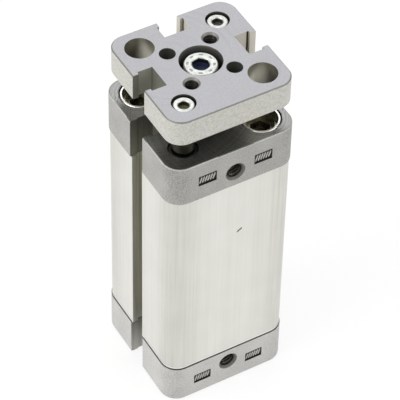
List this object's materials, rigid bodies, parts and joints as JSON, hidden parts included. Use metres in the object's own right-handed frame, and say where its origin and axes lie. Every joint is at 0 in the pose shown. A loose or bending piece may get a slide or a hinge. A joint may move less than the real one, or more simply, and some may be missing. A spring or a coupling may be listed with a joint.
{
  "type": "guided pneumatic cylinder",
  "caption": "Compact square double-acting pneumatic cylinder with a yoke plate on the piston rod, held from turning by guide rods on one diagonal.",
  "frame": {"origin": "centre of the rear mounting face", "axes": "+Z along the piston rod towards the yoke plate, ports on the -Y side, sensor slots on the other three sides"},
  "size_m": [0.036, 0.036, 0.1021],
  "materials": {
    "barrel_extrusion": "satin anodised extrusion",
    "cast_cap": "blasted die casting",
    "machined_plate": "blasted and anodised",
    "rod_steel": "ground stainless steel",
    "guide_steel": "ground stainless steel",
    "bronze_bush": "sintered bronze",
    "seal_rubber": "polyurethane",
    "wiper_polymer": "polyurethane",
    "collar_zinc": "zinc plated",
    "screw_zinc": "zinc plated",
    "piston_alloy": "turned",
    "magnet_compound": "plastic bonded ferrite"
  },
  "bodies": {
    "housing": {"barrel": "barrel_extrusion", "bearing_cap": "cast_cap", "end_cap": "cast_cap", "front_collar_screw_left": "collar_zinc", "front_collar_screw_right": "collar_zinc", "front_static_ring": "seal_rubber", "guide_bush_left": "bronze_bush", "guide_bush_right": "bronze_bush", "guide_wiper_left": "wiper_polymer", "guide_wiper_right": "wiper_polymer", "rear_collar_screw_guide_left": "collar_zinc", "rear_collar_screw_guide_right": "collar_zinc", "rear_collar_screw_tie_left": "collar_zinc", "rear_collar_screw_tie_right": "collar_zinc", "rear_static_ring": "seal_rubber", "rod_bush": "bronze_bush", "rod_seal": "seal_rubber"},
    "yoke": {"front_buffer": "seal_rubber", "guide_rod_left": "guide_steel", "guide_rod_right": "guide_steel", "guide_screw_left": "screw_zinc", "guide_screw_right": "screw_zinc", "magnet_ring": "magnet_compound", "piston": "piston_alloy", "piston_rod": "rod_steel", "piston_screw": "screw_zinc", "piston_seal_front": "seal_rubber", "piston_seal_rear": "seal_rubber", "rear_buffer": "seal_rubber", "rod_screw": "screw_zinc", "yoke_plate": "machined_plate"}
  },
  "joints": [
    {"name": "rod_travel", "type": "slide", "parent": "housing", "child": "yoke", "axis": [0, 0, 1], "range_m": [0, 0.05]}
  ]
}
